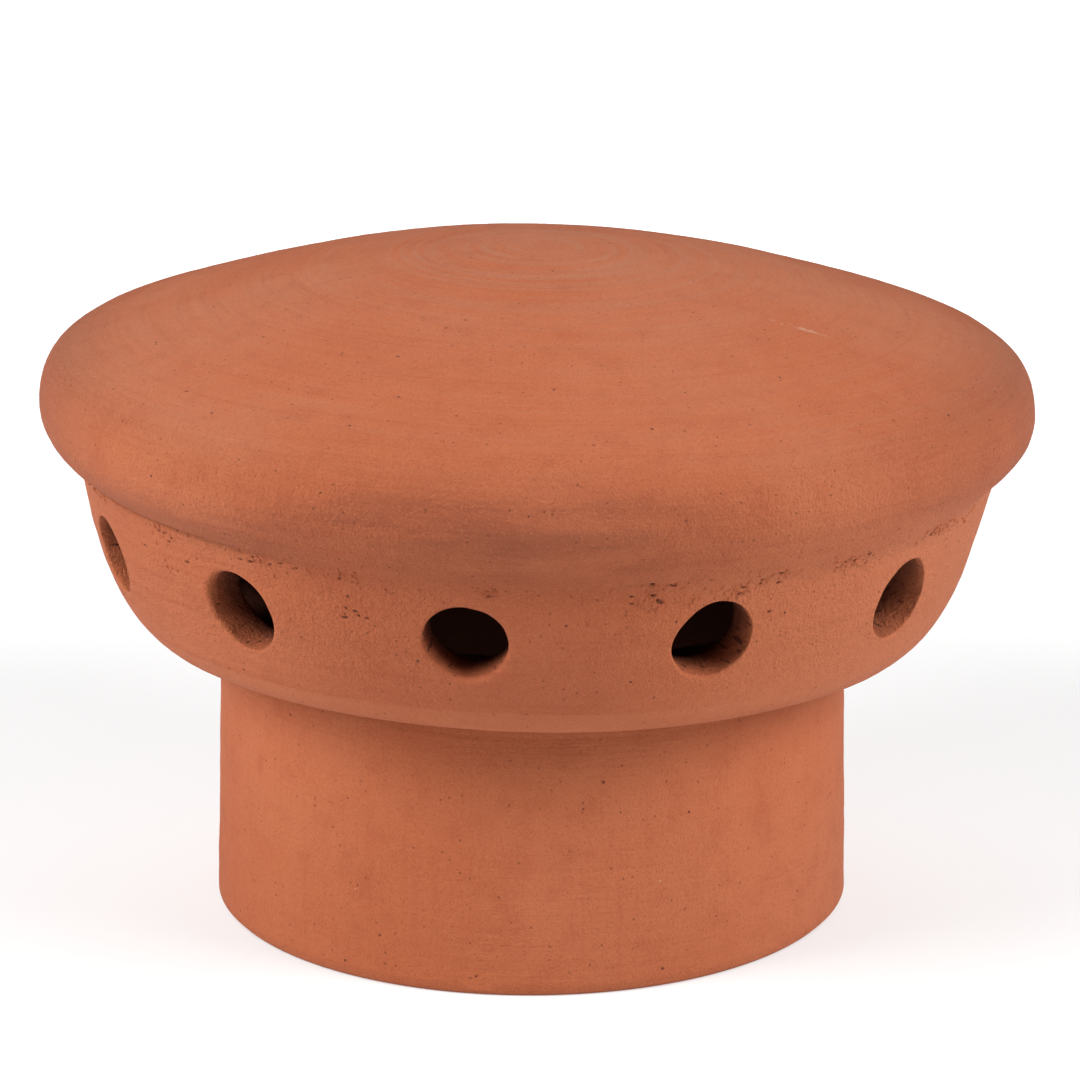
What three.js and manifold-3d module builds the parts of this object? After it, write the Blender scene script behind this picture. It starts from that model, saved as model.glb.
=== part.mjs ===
// Hand-thrown terracotta flue terminal: one hollow fired pot, with a plain spigot at the foot,
// a bowl-shaped chamber pierced by a ring of round vents, and a domed cap with a bullnose rim.
// Millimetres, +Z up. The origin is the centre of the foot, and one vent faces -Y.
import * as THREE from "three";
import { mergeVertices } from "three/addons/utils/BufferGeometryUtils.js";
import Module from "manifold-3d";

const wasm = await Module();
wasm.setup();

// Driving dimensions
const height = 207; // foot to crown
const wall = 14.5; // fired clay, about the same all round
const turnSegments = 72; // facets round the pot
const curveSteps = { outside: 5, inside: 4 }; // facets along each curve of the profile
const weldGap = 1e-3; // points closer than this are one point

const spigot = {
  footRadius: 100,
  neckRadius: 98,
  footBevel: 1.5,
  fillet: 4, // where the outside turns under the belly
  boreLip: 8, // where the bore opens into the chamber
};
const belly = {
  edgeRadius: 115.4, // crisp lower edge, over the spigot
  edgeHeight: 88.6,
  undersideRise: 1.2, // rise of the underside from the neck out to that edge
  bandRadius: 121, // top of the turned band above that edge
  bandHeight: 91,
  swellAngle: THREE.MathUtils.degToRad(35), // way the wall leaves the band
  swellReach: 17,
  seamRadius: 141, // where the bowl is luted to the cap
  seamHeight: 141.8,
  seamAngle: THREE.MathUtils.degToRad(83), // way the bowl runs up into the seam
  seamReach: 8,
};
const cap = {
  rimRadius: 153.5, // widest line of the bullnose
  rimHeight: 160,
  creaseAngle: THREE.MathUtils.degToRad(34), // way the bullnose springs out of the seam
  creaseReach: 3.6,
  underReach: 10, // reach of the bullnose's curve below and above the rim
  overReach: 17.3,
  shoulderRadius: 121, // where the bullnose runs into the dome
  shoulderHeight: 186,
  shoulderSlope: THREE.MathUtils.degToRad(17.3),
  shoulderReach: 22,
  domeReach: 33,
  crownReach: 52,
};
const chamber = {
  domeInset: 6, // edge of the inner dome, in from the shoulder
  domeDrop: 2, // and under the thickness of the wall there
  domeReach: 25,
  cornerReach: 14,
  wallReach: 16,
  floorReach: 14,
};
const vents = {
  count: 12,
  diameter: 24.5,
  height: 121,
  drop: THREE.MathUtils.degToRad(8), // a vent slopes down and out, square to the bowl
  cutLength: 58, // well past both faces of the wall
  sides: 16,
};

// The head sits a little out of true, and the lean builds up over the height of the spigot.
const lean = THREE.MathUtils.degToRad(1.05);
const leanHeight = belly.edgeHeight;

const clay = new THREE.MeshStandardMaterial({ color: 0xc5704b, roughness: 0.9, metalness: 0 });

// A point of the profile moved a given reach along an angle above the horizontal.
function along(radius, z, angle, reach) {
  return [radius + reach * Math.cos(angle), z + reach * Math.sin(angle)];
}

// Outside of the pot, from the foot up to the crown.
function outsidePath() {
  const undersideHeight = belly.edgeHeight - belly.undersideRise;
  const path = new THREE.Path();
  path.moveTo(spigot.footRadius - spigot.footBevel, 0);
  path.lineTo(spigot.footRadius, spigot.footBevel);
  path.lineTo(spigot.neckRadius, undersideHeight - spigot.fillet);
  path.quadraticCurveTo(
    spigot.neckRadius, undersideHeight,
    spigot.neckRadius + spigot.fillet, undersideHeight,
  );
  path.lineTo(belly.edgeRadius, belly.edgeHeight);
  path.lineTo(belly.bandRadius, belly.bandHeight);
  path.bezierCurveTo(
    ...along(belly.bandRadius, belly.bandHeight, belly.swellAngle, belly.swellReach),
    ...along(belly.seamRadius, belly.seamHeight, belly.seamAngle, -belly.seamReach),
    belly.seamRadius, belly.seamHeight,
  );
  path.bezierCurveTo(
    ...along(belly.seamRadius, belly.seamHeight, cap.creaseAngle, cap.creaseReach),
    cap.rimRadius, cap.rimHeight - cap.underReach,
    cap.rimRadius, cap.rimHeight,
  );
  path.bezierCurveTo(
    cap.rimRadius, cap.rimHeight + cap.overReach,
    ...along(cap.shoulderRadius, cap.shoulderHeight, -cap.shoulderSlope, cap.shoulderReach),
    cap.shoulderRadius, cap.shoulderHeight,
  );
  path.bezierCurveTo(
    ...along(cap.shoulderRadius, cap.shoulderHeight, -cap.shoulderSlope, -cap.domeReach),
    cap.crownReach, height,
    0, height,
  );
  return path;
}

// Inside of the pot, from the crown of the chamber down to the foot.
function insidePath() {
  const boreRadius = spigot.neckRadius - wall;
  const floorRadius = belly.edgeRadius - wall / 2;
  const floorHeight = belly.edgeHeight + wall;
  const chamberRadius = belly.seamRadius - wall;
  const domeRadius = cap.shoulderRadius - chamber.domeInset;
  const domeHeight = cap.shoulderHeight - wall - chamber.domeDrop;
  const path = new THREE.Path();
  path.moveTo(0, height - wall);
  path.bezierCurveTo(
    cap.crownReach, height - wall,
    ...along(domeRadius, domeHeight, -cap.shoulderSlope, -chamber.domeReach),
    domeRadius, domeHeight,
  );
  path.quadraticCurveTo(
    ...along(domeRadius, domeHeight, -cap.shoulderSlope, chamber.cornerReach),
    chamberRadius, belly.seamHeight,
  );
  path.bezierCurveTo(
    ...along(chamberRadius, belly.seamHeight, belly.seamAngle, -chamber.wallReach),
    floorRadius + chamber.floorReach, floorHeight,
    floorRadius, floorHeight,
  );
  path.lineTo(boreRadius + spigot.boreLip, floorHeight);
  path.quadraticCurveTo(boreRadius, floorHeight, boreRadius, floorHeight - spigot.boreLip);
  path.lineTo(spigot.footRadius - wall, 0);
  return path;
}

// Turns each point sideways about the spigot, more with height, so that the foot stays flat.
function leanOver(geometry) {
  const position = geometry.getAttribute("position");
  for (let i = 0; i < position.count; i++) {
    const z = position.getZ(i);
    const bent = THREE.MathUtils.clamp(z, 0, leanHeight);
    const angle = (lean * bent) / leanHeight;
    const axisX = (angle * bent) / 2;
    const straight = z - bent;
    const x = position.getX(i);
    position.setX(i, axisX + x * Math.cos(angle) + straight * Math.sin(angle));
    position.setZ(i, bent - x * Math.sin(angle) + straight * Math.cos(angle));
  }
  return geometry;
}

function solidFrom(geometry) {
  const bare = geometry.clone();
  bare.deleteAttribute("normal");
  bare.deleteAttribute("uv");
  const merged = mergeVertices(bare, weldGap);
  return new wasm.Manifold(
    new wasm.Mesh({
      numProp: 3,
      vertProperties: merged.getAttribute("position").array,
      triVerts: new Uint32Array(merged.index.array),
    }),
  );
}

function geometryFrom(solid) {
  const mesh = solid.getMesh();
  const geometry = new THREE.BufferGeometry();
  geometry.setAttribute("position", new THREE.BufferAttribute(mesh.vertProperties, 3));
  geometry.setIndex(new THREE.BufferAttribute(mesh.triVerts, 1));
  geometry.computeVertexNormals();
  return geometry;
}

// The pot before its vents are cut, turned on its axis.
function turnedPot() {
  const profile = [
    ...insidePath().getPoints(curveSteps.inside),
    ...outsidePath().getPoints(curveSteps.outside),
  ];
  const geometry = new THREE.LatheGeometry(profile, turnSegments);
  geometry.rotateX(Math.PI / 2);
  return leanOver(geometry);
}

// One round cutter through the chamber's wall, square to the slope of the bowl.
function ventCutter(index) {
  const geometry = new THREE.CylinderGeometry(
    vents.diameter / 2, vents.diameter / 2, vents.cutLength, vents.sides,
  );
  geometry.rotateX(vents.drop);
  geometry.translate(0, -(belly.seamRadius - wall / 2), vents.height);
  geometry.rotateZ((index * 2 * Math.PI) / vents.count);
  return leanOver(geometry);
}

function flueTerminal() {
  let solid = solidFrom(turnedPot());
  for (let i = 0; i < vents.count; i++) {
    solid = solid.subtract(solidFrom(ventCutter(i)));
  }
  const mesh = new THREE.Mesh(geometryFrom(solid), clay);
  mesh.name = "flue_terminal";
  return mesh;
}

const terminal = new THREE.Group();
terminal.add(flueTerminal());

export default terminal;
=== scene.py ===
import math
import random
import bmesh
import bpy
import numpy as np
from mathutils import Matrix, Vector, noise


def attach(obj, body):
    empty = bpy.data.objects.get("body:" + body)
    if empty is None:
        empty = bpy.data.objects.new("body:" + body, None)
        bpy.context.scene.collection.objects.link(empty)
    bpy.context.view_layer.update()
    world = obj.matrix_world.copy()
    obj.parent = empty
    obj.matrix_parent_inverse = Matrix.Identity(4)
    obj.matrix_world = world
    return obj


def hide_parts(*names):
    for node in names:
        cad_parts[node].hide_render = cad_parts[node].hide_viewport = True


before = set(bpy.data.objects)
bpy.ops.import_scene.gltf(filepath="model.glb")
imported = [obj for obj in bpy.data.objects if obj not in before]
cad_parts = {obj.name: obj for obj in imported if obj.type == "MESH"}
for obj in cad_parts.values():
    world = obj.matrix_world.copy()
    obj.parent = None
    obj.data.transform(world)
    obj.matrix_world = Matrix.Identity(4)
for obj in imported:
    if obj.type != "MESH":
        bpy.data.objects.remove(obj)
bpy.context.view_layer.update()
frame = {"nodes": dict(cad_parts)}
print("frame loaded:", ", ".join(frame["nodes"]))

mm = 0.001
deg = math.pi / 180


# the pot's outline, in metres, the same as the solid it stands for
potShape = {
    "height": 207 * mm, "wall": 14.5 * mm,
    "footRadius": 100 * mm, "neckRadius": 98 * mm, "footBevel": 1.5 * mm, "fillet": 4 * mm,
    "boreLip": 8 * mm,
    "edgeRadius": 115.4 * mm, "edgeHeight": 88.6 * mm, "undersideRise": 1.2 * mm,
    "bandRadius": 121 * mm, "bandHeight": 91 * mm, "swellAngle": 35 * deg, "swellReach": 17 * mm,
    "seamRadius": 141 * mm, "seamHeight": 141.8 * mm, "seamAngle": 83 * deg, "seamReach": 8 * mm,
    "creaseAngle": 34 * deg, "creaseReach": 3.6 * mm,
    "rimRadius": 153.5 * mm, "rimHeight": 160 * mm, "underReach": 10 * mm, "overReach": 17.3 * mm,
    "shoulderRadius": 121 * mm, "shoulderHeight": 186 * mm, "shoulderSlope": 17.3 * deg,
    "shoulderReach": 22 * mm, "domeReach": 33 * mm, "crownReach": 52 * mm,
    "domeInset": 6 * mm, "domeDrop": 2 * mm, "chamberDomeReach": 25 * mm, "cornerReach": 14 * mm,
    "wallReach": 16 * mm, "floorReach": 14 * mm,
    "lean": 1.05 * deg,  # the head leans towards +X
}

# the hand-cut vents
ventCut = {
    "count": 12, "diameter": 24.5 * mm, "height": 120.7 * mm, "drop": 8 * deg,
    "columns": 22,  # facets along each side of a vent's panel
    "panelHalf": 17 * mm, "cornerAngle": 35 * deg,
    "insideSpan": (106.6 * mm, 139 * mm),  # heights of the panel's ends inside the chamber
    "rings": 11, "ringCrowding": 1.5,  # rows of points crowd towards the lip
    "lipRings": 4, "tunnelRings": 7, "insideRings": 4,
    "depthRange": (4 * mm, 30 * mm), "depthHalvings": 28,  # the search for the chamber's wall
    "crispLip": 0.5 * mm, "flatPower": 6, "waveScale": 2.2, "waveDepth": 0.022,
    "seed": 12,
}

# how a vent strays from a true circle and where its lip is rubbed soft, drawn between two values;
# shares of the radius, degrees and millimetres
ventStray = {
    "flat": (0.02, 0.045), "flatAt": (0, 360), "oval": (0.01, 0.03), "ovalAt": (0, 180),
    "soft": (0.8, 1.6), "softAt": (150, 260), "waver": (0, 50),
}

# the vents seen best, counted from the one that faces -Y
ventSeen = {
    0: {"flat": 0.11, "flatAt": 222, "oval": 0.02, "ovalAt": 10, "soft": 1.9, "softAt": 285},
    1: {"flat": 0.07, "flatAt": 140, "oval": 0.03, "ovalAt": 60, "soft": 1.2, "softAt": 225},
    2: {"flat": 0.06, "flatAt": 35, "oval": 0.03, "ovalAt": 70, "soft": 0.9, "softAt": 225},
    11: {"flat": 0.05, "flatAt": 225, "oval": 0.05, "ovalAt": 125, "soft": 2.0, "softAt": 180},
}

# how far in each point of the clay counts as, from the outside to the chamber
clayDepth = {
    "outside": 0, "lip": 0.3, "chamber": 1,
    "tunnel": 0.5, "tunnelRun": 0.3,  # where a vent's tunnel starts, and what it adds on its way in
    "roofLead": 0.55, "roofShadeShare": (0.4, 0.8),  # its roof and walls take the painted shade soonest, and its floor keeps its colour furthest in
    "outsideLimit": 0.1,
}

# how far apart the rows of points lie, from mark to mark of an outline
rowSteps = {
    "below": [0.8 * mm, 3 * mm, 0.9 * mm, 2 * mm, 1 * mm, 1.8 * mm],  # foot to vents
    "above": [0.9 * mm, 0.6 * mm, 1.3 * mm, 2 * mm, 3 * mm],  # vents to crown
    "chamber": [8 * mm, 5 * mm, 4 * mm], "bore": [4 * mm, 7 * mm, 4 * mm, 10 * mm],
    "underSeam": 2 * mm, "overSeam": 4 * mm,  # the finest rows lie between these, at the seam
}
curveSteps = 160  # straight pieces along each curve of an outline
axisGap = 1e-6  # a row closer to the axis than this is one point


def bezier(points, steps):
    t = np.linspace(0, 1, steps + 1)[:, None]
    points = [np.array(p, float) for p in points]
    while len(points) > 1:
        points = [a * (1 - t) + b * t for a, b in zip(points, points[1:])]
    return points[0]


def along(radius, height, angle, reach):
    return (radius + reach * math.cos(angle), height + reach * math.sin(angle))


class Outline:  # a run of curves, read by the distance along it
    def __init__(self, curves):
        runs = [bezier(c, curveSteps) for c in curves]
        self.points = np.vstack([runs[0]] + [r[1:] for r in runs[1:]])
        steps = np.linalg.norm(np.diff(self.points, axis=0), axis=1)
        self.distance = np.concatenate([[0], np.cumsum(steps)])
        self.marks = [self.distance[curveSteps * (i + 1)] for i in range(len(runs))]

    def at(self, distance):
        radius = np.interp(distance, self.distance, self.points[:, 0])
        height = np.interp(distance, self.distance, self.points[:, 1])
        return radius, height

    def atHeight(self, height, low, high):  # distance at a height, between two distances
        part = (self.distance >= low) & (self.distance <= high)
        heights, distances = self.points[part, 1], self.distance[part]
        order = np.argsort(heights)
        return np.interp(height, heights[order], distances[order])


def outsideOutline(s):
    under = s["edgeHeight"] - s["undersideRise"]
    foot = (s["footRadius"], s["footBevel"])
    neck = (s["neckRadius"], under - s["fillet"])
    turn = (s["neckRadius"] + s["fillet"], under)
    edge = (s["edgeRadius"], s["edgeHeight"])
    band = (s["bandRadius"], s["bandHeight"])
    seam = (s["seamRadius"], s["seamHeight"])
    rim = (s["rimRadius"], s["rimHeight"])
    shoulder = (s["shoulderRadius"], s["shoulderHeight"])
    crown = (0, s["height"])
    return Outline([
        [(s["footRadius"] - s["footBevel"], 0), foot],
        [foot, neck],
        [neck, (s["neckRadius"], under), turn],
        [turn, edge],
        [edge, band],
        [band, along(*band, s["swellAngle"], s["swellReach"]),
         along(*seam, s["seamAngle"], -s["seamReach"]), seam],
        [seam, along(*seam, s["creaseAngle"], s["creaseReach"]),
         (s["rimRadius"], s["rimHeight"] - s["underReach"]), rim],
        [rim, (s["rimRadius"], s["rimHeight"] + s["overReach"]),
         along(*shoulder, -s["shoulderSlope"], s["shoulderReach"]), shoulder],
        [shoulder, along(*shoulder, -s["shoulderSlope"], -s["domeReach"]),
         (s["crownReach"], s["height"]), crown],
    ])


def insideOutline(s):
    bore = s["neckRadius"] - s["wall"]
    floor = (s["edgeRadius"] - s["wall"] / 2, s["edgeHeight"] + s["wall"])
    chamber = (s["seamRadius"] - s["wall"], s["seamHeight"])
    dome = (s["shoulderRadius"] - s["domeInset"], s["shoulderHeight"] - s["wall"] - s["domeDrop"])
    lip = (bore + s["boreLip"], floor[1])
    throat = (bore, floor[1] - s["boreLip"])
    crown = (0, s["height"] - s["wall"])
    return Outline([
        [crown, (s["crownReach"], crown[1]),
         along(*dome, -s["shoulderSlope"], -s["chamberDomeReach"]), dome],
        [dome, along(*dome, -s["shoulderSlope"], s["cornerReach"]), chamber],
        [chamber, along(*chamber, s["seamAngle"], -s["wallReach"]),
         (floor[0] + s["floorReach"], floor[1]), floor],
        [floor, lip],
        [lip, (bore, floor[1]), throat],
        [throat, (s["footRadius"] - s["wall"], 0)],
    ])


def spread(marks, steps):  # distances from mark to mark, about a step apart
    out = [marks[0]]
    for low, high, size in zip(marks, marks[1:], steps):
        count = max(1, round((high - low) / size))
        out += [low + (high - low) * (i + 1) / count for i in range(count)]
    return out


class PotMesh:  # points and faces of the pot, with what the clay needs to know of each point
    def __init__(self):
        self.points, self.faces, self.inside = [], [], []

    def add(self, radius, angle, height, inside):
        self.points.append((radius * math.cos(angle), radius * math.sin(angle), height))
        self.inside.append(inside)
        return len(self.points) - 1

    def ring(self, radius, height, angles, inside):
        return [self.add(radius, a, height, inside) for a in angles]

    def bridge(self, a, b):
        count = len(a)
        for j in range(count):
            n = (j + 1) % count
            self.faces.append((a[j], a[n], b[n], b[j]))

    def lathe(self, outline, distances, angles, inside):
        rows = []
        for d in distances:
            radius, height = outline.at(d)
            if radius < axisGap:
                rows.append([self.add(0, 0, height, inside)])
            else:
                rows.append(self.ring(radius, height, angles, inside))
        for a, b in zip(rows, rows[1:]):
            self.join(a, b)
        return rows

    def join(self, a, b):
        if len(a) == 1:
            self.faces += [(a[0], b[(j + 1) % len(b)], b[j]) for j in range(len(b))]
        elif len(b) == 1:
            self.faces += [(a[j], a[(j + 1) % len(a)], b[0]) for j in range(len(a))]
        else:
            self.bridge(a, b)


def ventHand(index, rng):
    hand = {key: rng.uniform(*span) for key, span in ventStray.items()}
    hand.update(ventSeen.get(index, {}))
    for key, unit in (("flatAt", deg), ("ovalAt", deg), ("soft", mm), ("softAt", deg)):
        hand[key] *= unit
    return hand


def ventRadius(hand, angle):
    shape = 1 + hand["oval"] * math.cos(2 * (angle - hand["ovalAt"]))
    shape -= hand["flat"] * max(0, math.cos(angle - hand["flatAt"])) ** ventCut["flatPower"]
    scale = ventCut["waveScale"]
    wave = noise.noise(Vector((scale * math.cos(angle), scale * math.sin(angle), hand["waver"])))
    return ventCut["diameter"] / 2 * (shape + ventCut["waveDepth"] * wave)


def ventLip(hand, angle):
    soft = 0.5 + 0.5 * math.cos(angle - hand["softAt"])
    return ventCut["crispLip"] + (hand["soft"] - ventCut["crispLip"]) * soft ** 2


def leanOver(points):
    bendHeight = potShape["edgeHeight"]
    bent = np.clip(points[:, 2], 0, bendHeight)
    angle = potShape["lean"] * bent / bendHeight
    straight = points[:, 2] - bent
    leaned = points.copy()
    leaned[:, 0] = angle * bent / 2 + points[:, 0] * np.cos(angle) + straight * np.sin(angle)
    leaned[:, 2] = bent - points[:, 0] * np.sin(angle) + straight * np.cos(angle)
    return leaned


# the cap was set down a little out of true, so the seam climbs towards one side
seamClimb = {"angle": 8.5 * deg, "rise": 4.5 * mm, "spread": 2.0 * mm, "reach": 11 * mm, "power": 4}


def climbSeam(points):
    turn = np.arctan2(points[:, 1], points[:, 0]) - seamClimb["angle"]
    near = np.exp(-((points[:, 2] - potShape["seamHeight"]) / seamClimb["reach"]) ** 2)
    amount = np.maximum(0, np.cos(turn)) ** seamClimb["power"] * near
    radius = np.maximum(np.hypot(points[:, 0], points[:, 1]), mm)
    moved = points.copy()
    moved[:, :2] *= (1 + seamClimb["spread"] * amount / radius)[:, None]
    moved[:, 2] += seamClimb["rise"] * amount
    return moved


def buildPot():
    outside, inside = outsideOutline(potShape), insideOutline(potShape)
    side, count = ventCut["columns"], ventCut["count"]
    pitch = 2 * math.pi / count
    angles = [-math.pi / 2 - pitch / 2 + pitch * j / side for j in range(side * count)]
    bandMark, seamMark = outside.marks[4:6]
    wallTop, wallFloor = inside.marks[1:3]
    middle = outside.atHeight(ventCut["height"], bandMark, seamMark)
    low, high = middle - ventCut["panelHalf"], middle + ventCut["panelHalf"]
    inLow, inHigh = [inside.atHeight(h, wallTop, wallFloor) for h in ventCut["insideSpan"]]
    mesh = PotMesh()

    down = spread([inLow] + inside.marks[2:], rowSteps["bore"])
    up = spread([0] + outside.marks[:5] + [low], rowSteps["below"])
    inRows = mesh.lathe(inside, down, angles, clayDepth["chamber"])
    upRows = mesh.lathe(outside, up, angles, clayDepth["outside"])
    mesh.join(inRows[-1], upRows[0])
    crease = [high, seamMark - rowSteps["underSeam"], seamMark + rowSteps["overSeam"]]
    top = spread(crease + outside.marks[6:], rowSteps["above"])
    topRows = mesh.lathe(outside, top, angles, clayDepth["outside"])
    chamber = spread([0] + inside.marks[:2] + [inHigh], rowSteps["chamber"])
    chamberRows = mesh.lathe(inside, chamber, angles, clayDepth["chamber"])

    outLow, outHigh = upRows[-1], topRows[0]
    inTop, inBottom = chamberRows[-1], inRows[0]
    outSides, inSides = [], []
    for b in range(count):
        angle = angles[b * side]
        rows = [i / side for i in range(1, side)]
        outSides.append([mesh.add(*polar(outside, low + (high - low) * f, angle), clayDepth["outside"])
                         for f in rows])
        inSides.append([mesh.add(*polar(inside, inLow + (inHigh - inLow) * f, angle), clayDepth["chamber"])
                        for f in rows])
    rng = random.Random(ventCut["seed"])
    for k in range(count):
        hand = ventHand(k, rng)
        outLoop = panelLoop(outLow, outHigh, outSides, k)
        inLoop = panelLoop(inBottom, inTop, inSides, k)
        cutVent(mesh, outside, inside, k, hand, outLoop, inLoop, (middle, low, high), (inLow, inHigh))
    return mesh


def polar(outline, distance, angle):
    radius, height = outline.at(distance)
    return radius, angle, height


def panelLoop(lowRow, highRow, sides, k):  # the border of a vent's panel, counter-clockwise from outside
    side, total = ventCut["columns"], len(lowRow)
    left, right = k * side, ((k + 1) * side) % total
    loop = [lowRow[left + j] for j in range(side)]
    loop += [lowRow[right]] + sides[(k + 1) % ventCut["count"]]
    loop += [highRow[right]] + [highRow[left + j] for j in range(side - 1, 0, -1)]
    loop += [highRow[left]] + sides[k][::-1]
    return loop


def loopPlaces():  # the border's places across and up the panel, from 0 to 1
    side = ventCut["columns"]
    steps = [j / side for j in range(side)]
    return ([(f, 0) for f in steps] + [(1, f) for f in steps]
            + [(1 - f, 1) for f in steps] + [(0, 1 - f) for f in steps])


def loopAngles():  # where on the vent's edge each place of the border leads
    side, corner = ventCut["columns"], ventCut["cornerAngle"]
    wide, tall = math.pi - 2 * corner, 2 * corner
    out = []
    start = math.pi + corner
    for sweep in (wide, tall, wide, tall):
        out += [start + sweep * j / side for j in range(side)]
        start += sweep
    return out


def cutVent(mesh, outside, inside, k, hand, outLoop, inLoop, span, inSpan):
    middle, low, high = span
    inLow, inHigh = inSpan
    pitch = 2 * math.pi / ventCut["count"]
    centre = -math.pi / 2 + k * pitch
    reach = outside.at(middle)[0]
    border = [((u - 0.5) * pitch * reach, low + (high - low) * v - middle) for u, v in loopPlaces()]
    turns = loopAngles()
    radii = [ventRadius(hand, a) for a in turns]
    lips = [ventLip(hand, a) for a in turns]

    def onWall(x, y):
        radius, height = outside.at(middle + y)
        angle = centre + x / reach
        return Vector((radius * math.cos(angle), radius * math.sin(angle), height))

    def place(point, inner):
        mesh.points.append(tuple(point))
        mesh.inside.append(inner)
        return len(mesh.points) - 1

    previous = outLoop
    for m in range(1, ventCut["rings"] + 1):
        t = 1 - (1 - m / ventCut["rings"]) ** ventCut["ringCrowding"]
        ring = []
        for (x, y), a, r, lip in zip(border, turns, radii, lips):
            ex, ey = (r + lip) * math.cos(a), (r + lip) * math.sin(a)
            ring.append(place(onWall(x + (ex - x) * t, y + (ey - y) * t), clayDepth["outside"]))
        mesh.bridge(previous, ring)
        previous = ring

    level = math.cos(ventCut["drop"])
    outward = Vector((math.cos(centre) * level, math.sin(centre) * level, -math.sin(ventCut["drop"])))
    for i in range(1, ventCut["lipRings"] + 1):
        turn = math.pi / 2 * i / ventCut["lipRings"]
        ring = []
        for a, r, lip in zip(turns, radii, lips):
            edge = r + lip * (1 - math.sin(turn))
            rolled = outward * lip * (1 - math.cos(turn))
            ring.append(place(onWall(edge * math.cos(a), edge * math.sin(a)) - rolled, clayDepth["lip"]))
        mesh.bridge(previous, ring)
        previous = ring

    starts = [onWall(r * math.cos(a), r * math.sin(a)) for a, r in zip(turns, radii)]
    depths = [wallDepth(p, outward, inside) for p in starts]
    for i in range(1, ventCut["tunnelRings"] + 1):
        f = i / ventCut["tunnelRings"]
        ring = []
        for a, p, lip, depth in zip(turns, starts, lips, depths):
            # the tunnel's roof and walls count as further in, so the painted shade reaches them sooner
            base, gain = clayDepth["roofShadeShare"]
            shadedRoof = min(1, max(0, base + gain * math.sin(a)))
            inner = clayDepth["tunnel"] + clayDepth["tunnelRun"] * min(1, f + clayDepth["roofLead"] * shadedRoof)
            ring.append(place(p - outward * (lip + (depth - lip) * f), inner))
        mesh.bridge(previous, ring)
        previous = ring

    ends = []
    for p, depth in zip(starts, depths):
        end = p - outward * depth
        angle = (math.atan2(end.y, end.x) - centre + math.pi) % (2 * math.pi) - math.pi
        ends.append((angle, inside.atHeight(end.z, inside.marks[1], inside.marks[2])))
    inBorder = [((u - 0.5) * pitch, inLow + (inHigh - inLow) * v) for u, v in loopPlaces()]
    for m in range(1, ventCut["insideRings"]):
        t = m / ventCut["insideRings"]
        ring = []
        for (ea, ed), (ba, bd) in zip(ends, inBorder):
            radius, height = inside.at(ed + (bd - ed) * t)
            ring.append(mesh.add(radius, centre + ea + (ba - ea) * t, height, clayDepth["chamber"]))
        mesh.bridge(previous, ring)
        previous = ring
    mesh.bridge(previous, inLoop)


def wallDepth(point, outward, inside):  # how far a vent runs before it reaches the chamber
    near, far = ventCut["depthRange"]
    for _ in range(ventCut["depthHalvings"]):
        half = (near + far) / 2
        p = point - outward * half
        distance = inside.atHeight(p.z, inside.marks[1], inside.marks[2])
        if math.hypot(p.x, p.y) > inside.at(distance)[0]:
            near = half
        else:
            far = half
    return near


def potObject():
    pot = buildPot()
    straight = np.array(pot.points)
    mesh = bpy.data.meshes.new("terracottaPot")
    mesh.from_pydata(leanOver(climbSeam(straight)).tolist(), [], pot.faces)
    for name, values in (
        ("potRadius", np.hypot(straight[:, 0], straight[:, 1])),
        ("potHeight", straight[:, 2]),
        ("inside", np.array(pot.inside, float)),
    ):
        layer = mesh.attributes.new(name, "FLOAT", "POINT")
        layer.data.foreach_set("value", values.astype(np.float32))
    mesh.update()
    thing = bpy.data.objects.new("terracotta_pot", mesh)
    bpy.context.collection.objects.link(thing)
    thing.data.polygons.foreach_set("use_smooth", [True] * len(mesh.polygons))
    return thing


potPiece = potObject()
print("pot turned:", len(potPiece.data.polygons), "faces")


# where the clay tore by the seam and left crumbs: angle and width in degrees, strength,
# and drop below the seam
seamTears = [
    (-42, 3, 1.0, 2 * mm), (-27, 3, 0.9, 2 * mm), (-23, 3, 0.8, 2 * mm), (-17, 2, 0.5, 2 * mm),
    (3, 2, 0.3, 2 * mm),
    (-53, 4, 0.6, 2 * mm), (-57, 4, 0.9, 6.5 * mm), (-68, 4, 0.7, 8.5 * mm), (-68, 3, 0.5, 2 * mm),
    (-87, 2, 0.6, 3 * mm), (-104, 5, 0.5, 2 * mm), (-115, 4, 0.5, 2 * mm), (-131, 3, 0.5, 2 * mm),
    (-148, 4, 0.4, 1 * mm), (-103, 1.5, 0.3, 14 * mm), (-131, 1.5, 0.2, 14 * mm), (-138, 2, 0.2, 9 * mm),
    (60, 20, 0.5, 2.5 * mm), (110, 8, 0.4, 2.5 * mm), (170, 25, 0.5, 2.5 * mm),
]

# small pits and pulled grains, pressed into the outside where the mesh is made finer
pitMarks = {
    "count": 125, "smallest": 0.35 * mm, "largest": 0.75 * mm, "depth": 0.9, "cuts": 3, "seed": 41,
    "faceArea": 1 * mm * mm,  # smaller faces aren't cut further
    "seamShare": 0.62,  # share of the pits that lie by the seam, where the clay tore
    "seamBelow": 17 * mm, "seamAbove": 1 * mm, "seamScatter": 1.2 * mm,
    "pull": (1.0, 2.0), "tornPull": (1.0, 2.4),  # how far a pit is drawn out along the turning
    "stray": 1.2 * mm,
}


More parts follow.
